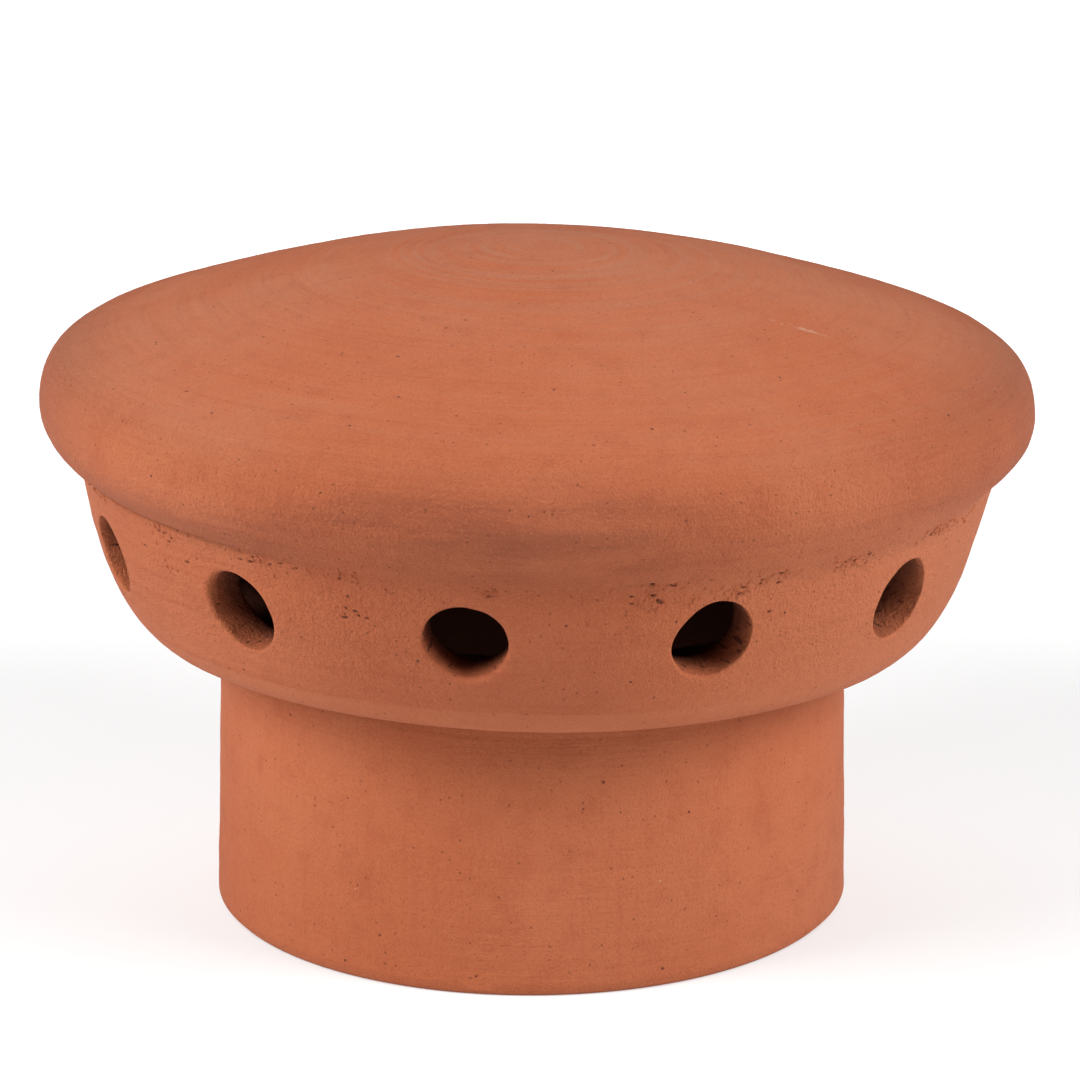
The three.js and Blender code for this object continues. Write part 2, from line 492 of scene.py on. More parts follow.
def pressPits(thing):
    mesh = bmesh.new()
    mesh.from_mesh(thing.data)
    mesh.faces.ensure_lookup_table()
    layers = mesh.verts.layers.float
    inside, height = layers["inside"], layers["potHeight"]
    # the pit layer keeps each pit's dip, for painted shade in the material
    pitLayer = layers.new("pit")

    def isOuter(face):
        return all(v[inside] < clayDepth["outsideLimit"] for v in face.verts)

    outer = [f for f in mesh.faces if isOuter(f) and f.calc_area() > pitMarks["faceArea"]]
    seamLow = potShape["seamHeight"] - pitMarks["seamBelow"]
    seamHigh = potShape["seamHeight"] + pitMarks["seamAbove"]
    byTheSeam = [f for f in outer if seamLow < f.verts[0][height] < seamHigh]
    seamPlaces = np.array([f.calc_center_median() for f in byTheSeam])
    rng = random.Random(pitMarks["seed"])
    pits, near = [], set()
    for _ in range(pitMarks["count"]):
        torn = rng.random() < pitMarks["seamShare"]
        face = rng.choice(outer)
        if torn:
            turn, width, _, drop = rng.choices(seamTears, [t[2] for t in seamTears])[0]
            turn = rng.gauss(turn, width / 2) * deg
            spot = Vector((math.cos(turn), math.sin(turn), 0)) * potShape["seamRadius"]
            spot.z = potShape["seamHeight"] - abs(rng.gauss(drop, pitMarks["seamScatter"]))
            face = byTheSeam[int(np.argmin(((seamPlaces - np.array(spot)) ** 2).sum(axis=1)))]
        size = rng.uniform(pitMarks["smallest"], pitMarks["largest"])
        pull = rng.uniform(*pitMarks["tornPull" if torn else "pull"])
        centre = face.calc_center_median()
        turning = Vector((-centre.y, centre.x, 0)).normalized()  # the way the wheel turned
        spot = centre + turning * rng.uniform(-1, 1) * pitMarks["stray"]
        pits.append((spot, turning, face.normal.copy(), size, pull))
        ring = {face} | {g for v in face.verts for g in v.link_faces}
        near |= {g for g in ring if isOuter(g)}
    edges = list({e for f in near for e in f.edges})
    bmesh.ops.subdivide_edges(mesh, edges=edges, cuts=pitMarks["cuts"], use_grid_fill=True)
    mesh.verts.ensure_lookup_table()
    spots = np.array([v.co for v in mesh.verts])
    for centre, turning, normal, size, pull in pits:
        away = spots - np.array(centre)
        close = np.nonzero(np.einsum("ij,ij->i", away, away) < (size * pull) ** 2)[0]
        for index in close:
            vert = mesh.verts[int(index)]
            offset = vert.co - centre
            run = offset.dot(turning)
            reach = math.sqrt((run / pull) ** 2 + (offset - turning * run).length_squared) / size
            if reach < 1:
                dip = (1 - reach * reach) ** 2
                vert.co -= normal * size * pitMarks["depth"] * dip
                vert[pitLayer] = max(vert[pitLayer], dip)
    mesh.to_mesh(thing.data)
    mesh.free()


pressPits(potPiece)
print("pits pressed:", pitMarks["count"])


def newTree(name, inputs):
    tree = bpy.data.node_groups.new(name, "GeometryNodeTree")
    tree.interface.new_socket("Geometry", in_out="INPUT", socket_type="NodeSocketGeometry")
    tree.interface.new_socket("Geometry", in_out="OUTPUT", socket_type="NodeSocketGeometry")
    keys = {}
    for label, kind in inputs:
        keys[label] = tree.interface.new_socket(label, in_out="INPUT", socket_type=kind).identifier
    return tree, tree.nodes.new("NodeGroupInput"), tree.nodes.new("NodeGroupOutput"), keys


class Wiring:  # short ways to add and join nodes
    def __init__(self, tree):
        self.tree = tree

    def node(self, kind, settings=None, **inputs):
        made = self.tree.nodes.new(kind)
        for key, value in (settings or {}).items():
            setattr(made, key, value)
        for key, value in inputs.items():
            self.feed(made.inputs[key.replace("_", " ")], value)
        return made

    def feed(self, socket, value):
        if isinstance(value, bpy.types.NodeSocket):
            self.tree.links.new(value, socket)
        else:
            socket.default_value = value

    def sum(self, operation, a, b=0.0, c=None):
        made = self.tree.nodes.new("ShaderNodeMath")
        made.operation = operation
        self.feed(made.inputs[0], a)
        self.feed(made.inputs[1], b)
        if c is not None:
            self.feed(made.inputs[2], c)
        return made.outputs[0]

    def times(self, a, b):
        return self.sum("MULTIPLY", a, b)

    def plus(self, a, b):
        return self.sum("ADD", a, b)

    def minus(self, a, b):
        return self.sum("SUBTRACT", a, b)

    def ease(self, value, low, high, fromValue=0.0, toValue=1.0):
        made = self.tree.nodes.new("ShaderNodeMapRange")
        made.interpolation_type = "SMOOTHSTEP"
        for socket, given in zip(made.inputs, (value, low, high, fromValue, toValue)):
            self.feed(socket, given)
        return made.outputs[0]

    def vector(self, x, y, z):
        made = self.tree.nodes.new("ShaderNodeCombineXYZ")
        for socket, given in zip(made.inputs, (x, y, z)):
            self.feed(socket, given)
        return made.outputs[0]

    def stretch(self, axes, scales):  # a place drawn out along its axes, so that noise on it makes streaks
        return self.vector(*[self.times(a, s) for a, s in zip(axes, scales)])

    def split(self, vector):
        made = self.tree.nodes.new("ShaderNodeSeparateXYZ")
        self.feed(made.inputs[0], vector)
        return made.outputs

    def band(self, value, rise, fall):  # 1 between two spans, and 0 outside them
        return self.times(self.ease(value, *rise), self.ease(value, *fall, 1.0, 0.0))

    def noise(self, vector, scale, detail=3.0, roughness=0.55):
        made = self.tree.nodes.new("ShaderNodeTexNoise")
        self.feed(made.inputs["Vector"], vector)
        for key, value in (("Scale", scale), ("Detail", detail), ("Roughness", roughness)):
            made.inputs[key].default_value = value
        return made.outputs[0]

    def swing(self, vector, scale, detail, depth, roughness=0.55):  # noise to either side of 0
        return self.times(self.minus(self.noise(vector, scale, detail, roughness), 0.5), depth)


def bakeNodes(thing, tree, keys, values):  # runs a tree on a piece and leaves a plain mesh
    modifier = thing.modifiers.new(tree.name, "NODES")
    modifier.node_group = tree
    for label, value in values.items():
        modifier[keys[label]] = value
    graph = bpy.context.evaluated_depsgraph_get()
    shaped = thing.evaluated_get(graph)
    result = bpy.data.meshes.new_from_object(shaped, preserve_all_data_layers=True, depsgraph=graph)
    thing.modifiers.remove(modifier)
    return result


# what the hand and the wheel left on the clay
clayRelief = {
    "Waver": 1.1 * mm, "Ring Depth": 0.5 * mm, "Ring Pitch": 5.5 * mm, "Grain Depth": 0.28 * mm,
    "Seam Depth": 1.2 * mm, "Seam Fill": 26 * mm, "Seam Height": potShape["seamHeight"],
    "Tunnel Depth": 0.7 * mm,
}

# how fine each kind of relief is, and where it fades
reliefShape = {
    "outer": (0.05, 0.25, 1.0, 0.0), "tunnel": ((0.4, 0.55), (0.82, 0.95)),  # by how far in a point is
    "waverScale": 11, "ringDrift": 5, "grainScale": 300, "tornScale": 75, "raggedScale": 210,
    "wanderScale": 26, "wander": 2.4 * mm,  # the seam's line isn't quite level
    "wiped": (-120 * mm, -20 * mm),  # the seam is wiped over from the front towards +X
    "wipedEnd": (120 * mm, 150 * mm, 1.0, 0.35),
    "openWidth": 0.9 * mm, "wipedWidth": 1.2 * mm, "openShare": 0.8, "torn": (0.58, 0.72, 0.0, 0.3),
    "filletReach": 0.456, "filletSlope": -1.2,
    "footing": (0.0, 6 * mm),  # the foot stays flat
    "innerShare": 0.3, "outerGain": 0.7,
}

climbRate = -0.6  # the height plus this share of the radius grows all the way to the crown
seamFacing = (potShape["seamAngle"] + potShape["creaseAngle"]) / 2 - math.pi / 2  # out of the seam's corner


def reliefTree():
    inputs = [(label, "NodeSocketFloat") for label in clayRelief] + [("Clay", "NodeSocketMaterial")]
    tree, given, out, keys = newTree("clayRelief", inputs)
    w, s, dial = Wiring(tree), reliefShape, given.outputs
    place = w.node("GeometryNodeInputPosition").outputs[0]
    x, y, _ = w.split(place)
    height, radius, inside = [
        w.node("GeometryNodeInputNamedAttribute", {"data_type": "FLOAT"}, Name=name).outputs[0]
        for name in ("potHeight", "potRadius", "inside")
    ]
    outer = w.ease(inside, *s["outer"])
    waver = w.swing(place, s["waverScale"], 2, dial["Waver"])
    run = w.sum("MULTIPLY_ADD", radius, climbRate, height)
    drift = w.times(x, s["ringDrift"]), w.times(y, s["ringDrift"])
    turned = w.vector(*drift, w.sum("DIVIDE", run, dial["Ring Pitch"]))
    rings = w.swing(turned, 1, 2, dial["Ring Depth"])
    grain = w.swing(place, s["grainScale"], 3, dial["Grain Depth"])

    wander = w.swing(place, s["wanderScale"], 2, s["wander"])
    offLine = w.sum("ABSOLUTE", w.minus(w.plus(height, wander), dial["Seam Height"]))
    wiped = w.ease(x, *s["wiped"])
    width = w.sum("MULTIPLY_ADD", wiped, s["wipedWidth"], s["openWidth"])
    torn = w.ease(w.noise(place, s["tornScale"], 3), *s["torn"])
    crease = w.times(w.ease(w.sum("DIVIDE", offLine, width), 0.0, 1.0, 1.0, 0.0), outer)
    left = w.sum("MULTIPLY_ADD", wiped, -s["openShare"], s["openShare"])
    crease = w.times(crease, w.sum("MAXIMUM", left, torn))
    seam = w.times(crease, dial["Seam Depth"])

    fromSeam = w.sum("ABSOLUTE", w.minus(height, dial["Seam Height"]))
    reach = w.sum("MULTIPLY_ADD", dial["Seam Fill"], s["filletReach"], w.times(fromSeam, s["filletSlope"]))
    reach = w.sum("MAXIMUM", reach, 0.0)  # a fillet of slip, as thick as its radius makes it
    filled = w.sum("DIVIDE", w.times(reach, reach), w.times(dial["Seam Fill"], 2.0))
    wipedOver = w.times(wiped, w.ease(x, *s["wipedEnd"]))
    filled = w.times(filled, w.times(wipedOver, outer))

    lift = w.minus(w.plus(w.plus(waver, rings), grain), seam)
    footing = w.ease(height, *s["footing"])
    lift = w.times(w.times(lift, w.sum("MULTIPLY_ADD", outer, s["outerGain"], s["innerShare"])), footing)
    tunnel = w.band(inside, *s["tunnel"])
    ragged = w.swing(place, s["raggedScale"], 3, dial["Tunnel Depth"], 0.6)
    lift = w.sum("MULTIPLY_ADD", tunnel, ragged, lift)
    normal = w.node("GeometryNodeInputNormal").outputs[0]
    offset = w.node("ShaderNodeVectorMath", {"operation": "SCALE"})
    w.feed(offset.inputs[0], normal)
    w.feed(offset.inputs["Scale"], lift)
    push = w.sum("DIVIDE", w.times(filled, math.cos(seamFacing)), radius)
    slip = w.vector(w.times(x, push), w.times(y, push), w.times(filled, math.sin(seamFacing)))
    both = w.node("ShaderNodeVectorMath", {"operation": "ADD"})
    w.feed(both.inputs[0], offset.outputs[0])
    w.feed(both.inputs[1], slip)
    moved = w.node("GeometryNodeSetPosition", Geometry=dial["Geometry"], Offset=both.outputs[0])
    kept = w.node("GeometryNodeStoreNamedAttribute", {"data_type": "FLOAT", "domain": "POINT"},
                  Geometry=moved.outputs[0], Name="crease", Value=crease)
    real = w.node("GeometryNodeRealizeInstances", Geometry=kept.outputs[0])
    worn = w.node("GeometryNodeSetMaterial", Geometry=real.outputs[0], Material=dial["Clay"])
    tree.links.new(worn.outputs[0], out.inputs[0])
    return tree, keys


# crumbs of slip left along the seam, thickest where the fingers lifted off
seamCrumbs = {
    "Density": 600000.0, "Smallest": 0.25 * mm, "Largest": 0.75 * mm, "Seed": 5,
    "elsewhere": 0.012, "drop": 2.5 * mm, "spread": 2.2 * mm,
    "flattest": (0.6, 0.6, 0.5), "fullest": (1.3, 1.3, 0.9),  # a crumb's shape lies between these
}


def crumbWeights(mesh):
    count = len(mesh.vertices)
    values = {}
    for name in ("potHeight", "inside"):
        values[name] = np.zeros(count, np.float32)
        mesh.attributes[name].data.foreach_get("value", values[name])
    places = np.zeros(count * 3, np.float32)
    mesh.vertices.foreach_get("co", places)
    places = places.reshape(-1, 3)
    turn = np.degrees(np.arctan2(places[:, 1], places[:, 0]))
    under = potShape["seamHeight"] - values["potHeight"]
    weight = seamCrumbs["elsewhere"] * np.exp(-((under - seamCrumbs["drop"]) / seamCrumbs["spread"]) ** 2)
    for angle, width, strength, drop in seamTears:
        across, down = (turn - angle) / width, (under - drop) / seamCrumbs["spread"]
        weight += strength * np.exp(-across ** 2 - down ** 2)
    weight *= values["inside"] < clayDepth["outsideLimit"]
    layer = mesh.attributes.new("crumbs", "FLOAT", "POINT")
    layer.data.foreach_set("value", weight.astype(np.float32))


def crumbTree():
    inputs = [(label, "NodeSocketFloat") for label in ("Density", "Smallest", "Largest")]
    inputs += [("Seed", "NodeSocketInt"), ("Clay", "NodeSocketMaterial")]
    tree, given, out, keys = newTree("seamCrumbs", inputs)
    w = Wiring(tree)
    weight = w.node("GeometryNodeInputNamedAttribute", {"data_type": "FLOAT"}, Name="crumbs").outputs[0]
    scatter = w.node("GeometryNodeDistributePointsOnFaces",
                     Mesh=given.outputs["Geometry"], Seed=given.outputs["Seed"])
    w.feed(scatter.inputs["Density"], w.times(weight, given.outputs["Density"]))
    crumb = w.node("GeometryNodeMeshIcoSphere", Radius=1.0, Subdivisions=1)
    size = w.node("FunctionNodeRandomValue", {"data_type": "FLOAT"}, Seed=given.outputs["Seed"])
    sockets = [s for s in size.inputs if s.enabled]
    w.feed(sockets[0], given.outputs["Smallest"])
    w.feed(sockets[1], given.outputs["Largest"])
    shape = w.node("FunctionNodeRandomValue", {"data_type": "FLOAT_VECTOR"})
    shape.inputs[0].default_value = seamCrumbs["flattest"]
    shape.inputs[1].default_value = seamCrumbs["fullest"]
    scale = w.node("ShaderNodeVectorMath", {"operation": "SCALE"})
    w.feed(scale.inputs[0], shape.outputs[0])
    w.feed(scale.inputs["Scale"], [s for s in size.outputs if s.enabled][0])
    laid = w.node("GeometryNodeInstanceOnPoints",
                  Points=scatter.outputs["Points"], Instance=crumb.outputs["Mesh"],
                  Rotation=scatter.outputs["Rotation"], Scale=scale.outputs[0])
    real = w.node("GeometryNodeRealizeInstances", Geometry=laid.outputs[0])
    worn = w.node("GeometryNodeSetMaterial", Geometry=real.outputs[0], Material=given.outputs["Clay"])
    tree.links.new(worn.outputs[0], out.inputs[0])
    return tree, keys


lampShare = 0.645  # the clay's own colour, as a share of how it looks under the lamps


def tint(red, green, blue):  # a colour as seen in the studio, turned into the clay's own
    light = [((c / 255 + 0.055) / 1.055) ** 2.4 for c in (red, green, blue)]
    return tuple(c * lampShare for c in light) + (1,)


# the fired clay's colours; soot also serves as painted shade under the bullnose, and pit as painted shade
# in the crease, pits, slits and vents
clayTones = {
    "pale": tint(214, 127, 87), "body": tint(199, 104, 62), "deep": tint(177, 84, 49),
    "ash": tint(190, 142, 116), "sootAndShade": tint(150, 80, 56), "pit": tint(70, 30, 18),
    "chalk": tint(232, 196, 172),
}

# where the marks lie: the span over which each fades, and what it fades from and to if not 0 and 1;
# heights, places along X or Y, or radii
clayZones = {
    "dome": (166 * mm, 178 * mm), "spigot": (86 * mm, 88 * mm, 1.0, 0.0),
    "bowl": ((90 * mm, 100 * mm), (138 * mm, 148 * mm)),
    "band": ((87.5 * mm, 88.5 * mm), (97.5 * mm, 98.1 * mm)),
    "rim": ((146 * mm, 155 * mm), (174 * mm, 192 * mm)), "rimSides": (100 * mm, 150 * mm),
    "noseFoot": (135 * mm, 153 * mm), "noseEdge": (-10 * mm, 7 * mm, 1.0, 0.0),
    "noseLeft": (-90 * mm, 0.0, 150 * mm, 172 * mm), "noseRight": (50 * mm, 130 * mm, 172 * mm, 155 * mm),
    "noseFade": (30 * mm, 100 * mm, 1.0, 0.25),  # the painted shade on the bullnose's underside thins out towards +X
    "back": (-10 * mm, 110 * mm),
    # the next span lays painted light on the bowl towards +X
    "bowlRightLight": (20 * mm, 100 * mm, 0.0, 0.4), "bowlMiddle": 5 * mm,
    # the next spans lay painted shade on the bowl's front middle, under the bullnose
    "bowlFrontShade": (25 * mm, 70 * mm, 0.34, 0.0), "bowlNear": (0.0, -80 * mm),
    "crownRings": (15 * mm, 90 * mm, 1.0, 0.25),
    "sandFoot": (90 * mm, 120 * mm), "sandTop": (172 * mm, 186 * mm, 1.0, 0.35),
}

# how far in a point counts as, where painted shade darkens the vents and the chamber, and where the vents
# tear
clayShade = {
    "tunnelEnd": (0.56, 0.8, 0.0, 0.7), "chamber": (0.8, 0.95, 0.0, 0.1),
    "tunnel": ((0.25, 0.5), (0.82, 0.95)),
}

# the noises: scale, detail and roughness
clayNoise = {
    "clouds": (14, 3, 0.5), "mottle": (95, 4, 0.6), "grain": (1500, 2, 0.6), "sand": (430, 4, 0.7),
    "streaks": (1, 4, 0.65), "crownRings": (0.8, 3, 0.65), "drags": (1, 3, 0.6), "smears": (1, 5, 0.65),
    "slits": (1, 2), "scuff": (330, 2),
}

# how far a noise is drawn out along each axis
clayStretch = {
    "streaks": (14, 14, 620), "drags": (420, 420, 16), "smears": (20, 20, 110), "slits": (520, 520, 130),
}

# the levels of a noise between which a mark shows, and from and to what strength if not 0 and 1
clayMarks = {
    "paleClouds": (0.3, 0.7, 0.2, 0.6), "deepMottle": (0.45, 0.75, 0.0, 0.3),
    "deepStreaks": (0.5, 0.8, 0.0, 0.38), "paleStreaks": (0.5, 0.2, 0.0, 0.36),
    "drags": (0.5, 0.75, 0.0, 0.16), "smears": (0.35, 0.62, 0.2, 0.6), "rimSoot": (0.3, 0.6, 0.25, 0.55),
    "crownRings": (0.38, 0.68), "bloom": (0.42, 0.7, 0.0, 0.12),
    "paleGrain": (0.54, 0.7, 0.0, 0.5), "deepGrain": (0.46, 0.3, 0.0, 0.5),
    "slits": (0.6, 0.66), "pits": (0.15, 0.65), "scuff": (0.48, 0.62),
}

# how strongly a mark of one strength covers the clay; the crease and the holes are painted shade
clayCover = {
    "spigotCalm": -0.7, "behind": 0.3, "band": 0.4, "crownRings": 0.4, "flecks": 0.55, "scuff": 0.4,
    "crease": 0.4, "holeShade": 0.72,
}

# specks in the clay: cells for each metre, how large a speck is in its cell, and which cells have one
claySpecks = {
    "cells": 165.0, "fineCells": 340.0, "unevenness": 0.05,
    "pinhole": (0.02, 0.055, 1.0, 0.0), "pinholeCells": (0.6, 0.61),
    "fine": (0.06, 0.18, 0.55, 0.0), "fineDark": (0.66, 0.67),
    "fleck": (0.03, 0.06, 1.0, 0.0), "fleckCells": (0.95, 0.951),
}
tunnelTurn = 0.14  # metres along the wall for each radian round the pot, where the vents are torn

# where something once scraped the dome
scuff = {"place": (0.0855, -0.04), "length": 11 * mm, "width": 1.6 * mm, "edge": (0.2, 1.0, 1.0, 0.0)}

# the clay's finish, and the fine relief that light picks out
clayFinish = {
    "Roughness": 0.82, "Specular IOR Level": 0.25,
    "ridges": 0.5, "noseRidges": 0.5, "domeRidges": -0.15,
    "grain": 0.5, "sand": 0.6, "bowlSand": 1.1, "Strength": 0.85, "Distance": 0.8 * mm,
}


def terracottaClay():
    material = bpy.data.materials.new("terracottaClay")
    material.use_nodes = True
    tree = material.node_tree
    shader = tree.nodes["Principled BSDF"]
    w, zones, marks, cover = Wiring(tree), clayZones, clayMarks, clayCover
    place = w.node("ShaderNodeTexCoord").outputs["Object"]
    x, y, z = w.split(place)

    def attribute(name):
        made = w.node("ShaderNodeAttribute", {"attribute_type": "GEOMETRY", "attribute_name": name})
        return made.outputs["Fac"]

    def blend(amount, under, tone):  # lays one of the clay's tones over a colour
        made = w.node("ShaderNodeMix", {"data_type": "RGBA", "blend_type": "MIX"})
        colours = [s for s in made.inputs if s.enabled]
        for socket, value in zip(colours, (amount, under, clayTones[tone])):
            w.feed(socket, value)
        return [s for s in made.outputs if s.enabled][0]

    height, radius, inside = attribute("potHeight"), attribute("potRadius"), attribute("inside")
    run = w.sum("MULTIPLY_ADD", radius, climbRate, height)
    onDome = w.ease(height, *zones["dome"])
    onSpigot = w.ease(height, *zones["spigot"])
    noseTop = w.sum("MINIMUM", w.ease(x, *zones["noseLeft"]), w.ease(x, *zones["noseRight"]))
    overNose = w.minus(height, noseTop)
    onNose = w.times(w.ease(height, *zones["noseFoot"]), w.ease(overNose, *zones["noseEdge"]))
    onNose = w.times(onNose, w.ease(x, *zones["noseFade"]))
    onBowl = w.band(height, *zones["bowl"])
    onRim = w.times(w.band(height, *zones["rim"]), w.ease(w.sum("ABSOLUTE", x), *zones["rimSides"]))
    onBand = w.band(height, *zones["band"])
    behind = w.times(onDome, w.ease(y, *zones["back"]))
    paintedDepthShade = w.plus(w.ease(inside, *clayShade["tunnelEnd"]), w.ease(inside, *clayShade["chamber"]))
    inTunnel = w.band(inside, *clayShade["tunnel"])

    clouds, mottle, grain = [w.noise(place, *clayNoise[name]) for name in ("clouds", "mottle", "grain")]
    turned = w.stretch((x, y, run), clayStretch["streaks"])
    streaks = w.noise(turned, *clayNoise["streaks"])
    drags = w.noise(w.stretch((x, y, z), clayStretch["drags"]), *clayNoise["drags"])
    smears = w.noise(w.stretch((x, y, height), clayStretch["smears"]), *clayNoise["smears"])

    colour = blend(w.ease(clouds, *marks["paleClouds"]), clayTones["body"], "pale")
    colour = blend(w.ease(mottle, *marks["deepMottle"]), colour, "deep")
    calm = w.sum("MULTIPLY_ADD", onSpigot, cover["spigotCalm"], 1.0)  # the spigot was wiped smooth
    colour = blend(w.times(calm, w.ease(streaks, *marks["deepStreaks"])), colour, "deep")
    colour = blend(w.times(calm, w.ease(streaks, *marks["paleStreaks"])), colour, "pale")
    colour = blend(w.times(onSpigot, w.ease(drags, *marks["drags"])), colour, "deep")
    # painted shade: the bullnose's downward-facing underside is darkened, broken up by smears
    colour = blend(w.times(onNose, w.ease(smears, *marks["smears"])), colour, "sootAndShade")
    colour = blend(w.times(behind, cover["behind"]), colour, "sootAndShade")
    # painted light: the bowl is paler towards +X
    colour = blend(w.times(onBowl, w.ease(x, *zones["bowlRightLight"])), colour, "pale")
    # painted shade: the bowl's front middle, under the bullnose, is darker
    offMiddle = w.sum("ABSOLUTE", w.minus(x, zones["bowlMiddle"]))
    bowlFrontShade = w.times(onBowl, w.ease(offMiddle, *zones["bowlFrontShade"]))
    colour = blend(w.times(bowlFrontShade, w.ease(y, *zones["bowlNear"])), colour, "deep")
    colour = blend(w.times(onBand, cover["band"]), colour, "pale")
    colour = blend(w.times(onRim, w.ease(clouds, *marks["rimSoot"])), colour, "sootAndShade")
    ringed = w.times(onDome, w.ease(radius, *zones["crownRings"]))  # plainest at the crown
    crownRings = w.times(ringed, w.ease(w.noise(turned, *clayNoise["crownRings"]), *marks["crownRings"]))
    colour = blend(w.times(crownRings, cover["crownRings"]), colour, "ash")
    colour = blend(w.times(onDome, w.ease(clouds, *marks["bloom"])), colour, "ash")
    colour = blend(w.ease(grain, *marks["paleGrain"]), colour, "pale")
    colour = blend(w.ease(grain, *marks["deepGrain"]), colour, "deep")

    specks = w.node("ShaderNodeTexVoronoi", Vector=place, Scale=claySpecks["cells"])
    dark, light, spare = w.split(specks.outputs["Color"])
    close = specks.outputs["Distance"]
    small = w.minus(close, w.times(spare, claySpecks["unevenness"]))
    pinholes = w.times(w.ease(small, *claySpecks["pinhole"]), w.ease(dark, *claySpecks["pinholeCells"]))
    flecks = w.times(w.ease(close, *claySpecks["fleck"]), w.ease(light, *claySpecks["fleckCells"]))
    fine = w.node("ShaderNodeTexVoronoi", Vector=place, Scale=claySpecks["fineCells"])
    fineDark = w.ease(w.split(fine.outputs["Color"])[0], *claySpecks["fineDark"])
    fineGrains = w.times(w.ease(fine.outputs["Distance"], *claySpecks["fine"]), fineDark)
    angle = w.times(w.sum("ARCTAN2", y, x), tunnelTurn)
    across = w.stretch((angle, z, radius), clayStretch["slits"])
    slits = w.times(w.ease(w.noise(across, *clayNoise["slits"]), *marks["slits"]), inTunnel)
    pressed = w.ease(attribute("pit"), *marks["pits"])
    holeShade = w.sum("MAXIMUM", w.sum("MAXIMUM", pinholes, slits), pressed)
    colour = blend(fineGrains, colour, "pit")
    colour = blend(w.times(flecks, cover["flecks"]), colour, "chalk")

    fromScuff = [w.minus(a, b) for a, b in zip((x, y), scuff["place"])]
    scuffX, scuffY = [w.sum("DIVIDE", a, scuff[size]) for a, size in zip(fromScuff, ("length", "width"))]
    offScuff = w.plus(w.times(scuffX, scuffX), w.times(scuffY, scuffY))
    broken = w.ease(w.noise(place, *clayNoise["scuff"]), *marks["scuff"])
    scraped = w.times(w.ease(offScuff, *scuff["edge"]), broken)
    colour = blend(w.times(w.times(scraped, onDome), cover["scuff"]), colour, "chalk")
    # painted shade: the seam's crease is darkened
    colour = blend(w.times(attribute("crease"), cover["crease"]), colour, "pit")
    # painted shade, with some dirt: pinholes, slits in the tunnels and the pressed pits are darkened
    colour = blend(w.times(holeShade, cover["holeShade"]), colour, "pit")
    # painted shade: the vents' tunnels and the chamber grow darker further in
    colour = blend(paintedDepthShade, colour, "pit")
    w.feed(shader.inputs["Base Color"], colour)
    for label in ("Roughness", "Specular IOR Level"):
        shader.inputs[label].default_value = clayFinish[label]

    ridgeShare = w.sum("MULTIPLY_ADD", onDome, clayFinish["domeRidges"], clayFinish["ridges"])
    ridges = w.times(streaks, w.sum("MULTIPLY_ADD", onNose, clayFinish["noseRidges"], ridgeShare))
    sand = w.plus(w.times(grain, clayFinish["grain"]), w.noise(place, *clayNoise["sand"]))
    sandy = w.times(w.ease(height, *zones["sandFoot"]), w.ease(height, *zones["sandTop"]))
    sandShare = w.sum("MULTIPLY_ADD", sandy, clayFinish["bowlSand"], clayFinish["sand"])
    bump = w.node("ShaderNodeBump", Height=w.plus(ridges, w.times(sand, sandShare)))
    for label in ("Strength", "Distance"):
        bump.inputs[label].default_value = clayFinish[label]
    w.feed(shader.inputs["Normal"], bump.outputs[0])
    return material


clay = terracottaClay()
relief, reliefKeys = reliefTree()
potPiece.data = bakeNodes(potPiece, relief, reliefKeys, {**clayRelief, "Clay": clay})
potPiece.data.name = "terracottaPot"
potPiece.data.calc_loop_triangles()
print("relief on the clay:", len(potPiece.data.loop_triangles), "triangles")

crumbWeights(potPiece.data)
crumbs, crumbKeys = crumbTree()
crumbSettings = {label: seamCrumbs[label] for label in ("Density", "Smallest", "Largest", "Seed")}
crumbMesh = bakeNodes(potPiece, crumbs, crumbKeys, {**crumbSettings, "Clay": clay})
crumbMesh.name = "seamCrumbs"
crumbPiece = bpy.data.objects.new("seam_crumbs", crumbMesh)
bpy.context.collection.objects.link(crumbPiece)
print("crumbs on the seam:", len(crumbMesh.polygons), "faces")


# the studio: a pale floor, a softbox on each side, and weaker ones in front and behind
studio = {
    "floorSize": 14.0, "floorTone": (0.45, 0.45, 0.45, 1), "floorRoughness": 0.9, "glowTone": (1, 1, 1, 1),
    "floorGlow": (0.25, 1.1, 0.5, 1.0),  # from near the pot to where the floor is a white sweep
    "underPot": (0.097, 0.1, 0.3, 1.0),  # little light comes up through the bore
    "skyTone": (1, 1, 1, 1), "sky": 0.02,
    "lamps": [  # name, place, what it points at, size, power
        ("leftSoftbox", (-1.24, -0.72, 0.98), (0, 0, 0.12), 0.95, 30.0),
        ("rightSoftbox", (1.33, -0.42, 1.0), (0, 0, 0.12), 0.95, 30.0),
        ("frontSoftbox", (-0.5, -0.88, 1.2), (0, 0, 0.12), 0.5, 3.0),
        ("backSoftbox", (-0.17, 1.14, 1.5), (0, 0, 0.12), 1.3, 10.0),
    ],
}


def pointAt(thing, target):
    thing.rotation_euler = (Vector(target) - thing.location).to_track_quat("-Z", "Y").to_euler()


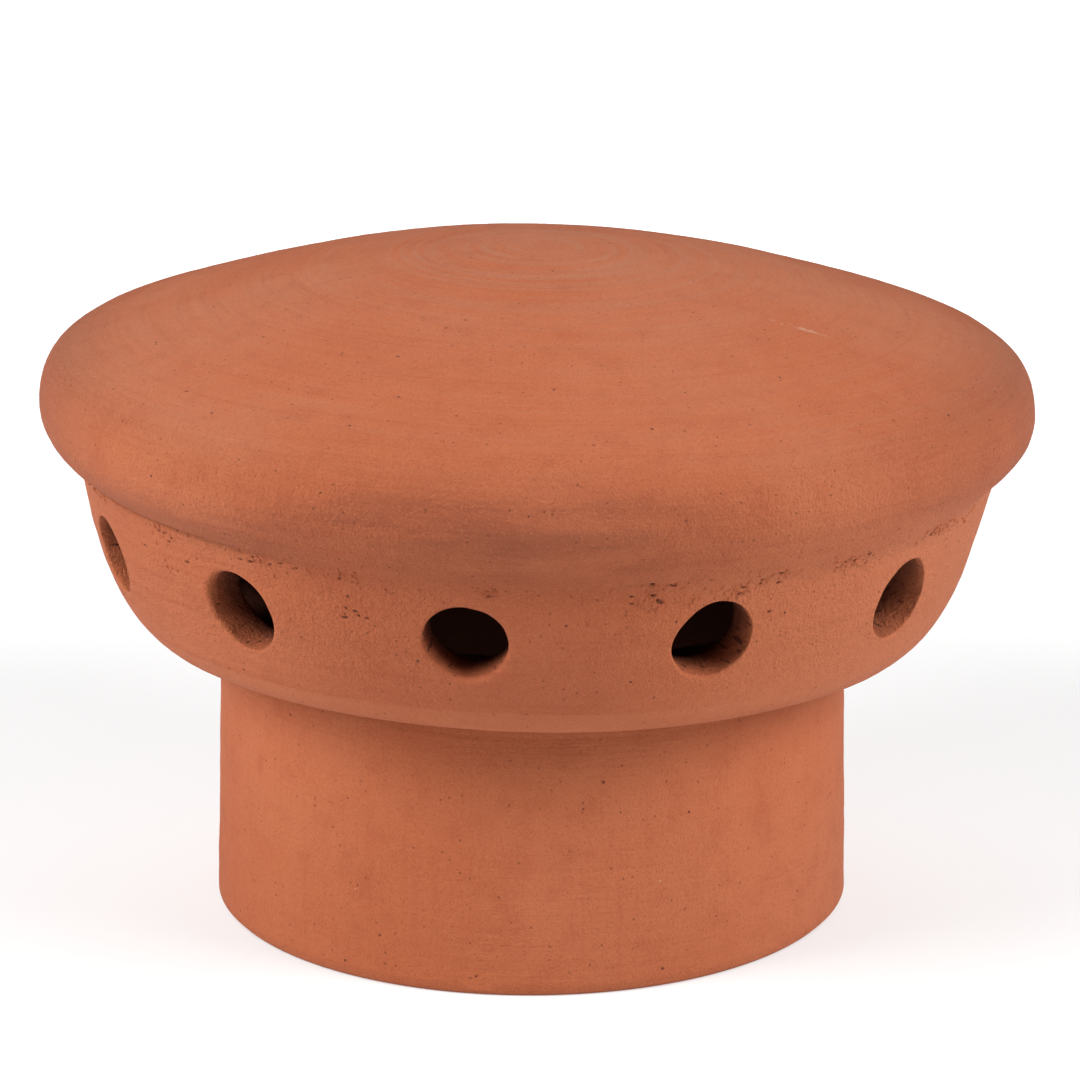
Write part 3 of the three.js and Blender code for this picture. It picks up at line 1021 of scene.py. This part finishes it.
def buildStudio():
    half = studio["floorSize"] / 2
    mesh = bpy.data.meshes.new("studioFloor")
    corners = [(-half, -half, 0), (half, -half, 0), (half, half, 0), (-half, half, 0)]
    mesh.from_pydata(corners, [], [(0, 1, 2, 3)])
    floor = bpy.data.objects.new("studio_floor", mesh)
    bpy.context.collection.objects.link(floor)
    paint = bpy.data.materials.new("paleFloor")
    paint.use_nodes = True
    w, shader = Wiring(paint.node_tree), paint.node_tree.nodes["Principled BSDF"]
    shader.inputs["Base Color"].default_value = studio["floorTone"]
    shader.inputs["Roughness"].default_value = studio["floorRoughness"]
    shader.inputs["Emission Color"].default_value = studio["glowTone"]
    away = w.node("ShaderNodeVectorMath", {"operation": "LENGTH"})
    w.feed(away.inputs[0], w.node("ShaderNodeTexCoord").outputs["Object"])
    glow, underPot = [w.ease(away.outputs["Value"], *studio[name]) for name in ("floorGlow", "underPot")]
    w.feed(shader.inputs["Emission Strength"], w.times(glow, underPot))
    mesh.materials.append(paint)
    world = bpy.data.worlds.new("softSky")
    world.use_nodes = True
    world.node_tree.nodes["Background"].inputs["Color"].default_value = studio["skyTone"]
    world.node_tree.nodes["Background"].inputs["Strength"].default_value = studio["sky"]
    bpy.context.scene.world = world
    bpy.context.scene.view_settings.view_transform = "Standard"  # white stays white
    for name, place, target, size, power in studio["lamps"]:
        lamp = bpy.data.lights.new(name, "AREA")
        lamp.shape, lamp.size, lamp.energy = "DISK", size, power
        thing = bpy.data.objects.new(name, lamp)
        thing.location = place
        bpy.context.collection.objects.link(thing)
        pointAt(thing, target)


# the photograph's view: a long lens from a little above
viewpoint = {
    "azimuth": 8.5 * deg, "elevation": 16.56 * deg, "distance": 1.2847, "lens": 136.08, "sensor": 36.0,
    "roll": -0.00107, "aimHeight": 0.095,
    "aimRight": -0.00222, "aimUp": -0.01351,  # how far off the middle of the view the aim point falls
}


def buildCamera():
    v = viewpoint
    back = Vector((math.sin(v["azimuth"]) * math.cos(v["elevation"]),
                   -math.cos(v["azimuth"]) * math.cos(v["elevation"]), math.sin(v["elevation"])))
    right = Vector((math.cos(v["azimuth"]), math.sin(v["azimuth"]), 0))
    axis = (back + v["aimRight"] * right + v["aimUp"] * back.cross(right)).normalized()
    right = Vector((0, 0, 1)).cross(axis).normalized()
    up = axis.cross(right)
    turned = right * math.cos(v["roll"]) + up * math.sin(v["roll"])
    up = axis.cross(turned)
    data = bpy.data.cameras.new("photoCamera")
    data.lens, data.sensor_width, data.sensor_fit = v["lens"], v["sensor"], "HORIZONTAL"
    camera = bpy.data.objects.new("photoCamera", data)
    bpy.context.collection.objects.link(camera)
    rotation = Matrix((turned, up, axis)).transposed().to_4x4()
    stand = back * v["distance"] + Vector((0, 0, v["aimHeight"]))
    camera.matrix_world = Matrix.Translation(stand) @ rotation
    bpy.context.scene.camera = camera


buildStudio()
buildCamera()
print("studio and camera set")

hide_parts("flue_terminal")
for piece in (potPiece, crumbPiece):
    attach(piece, "root")
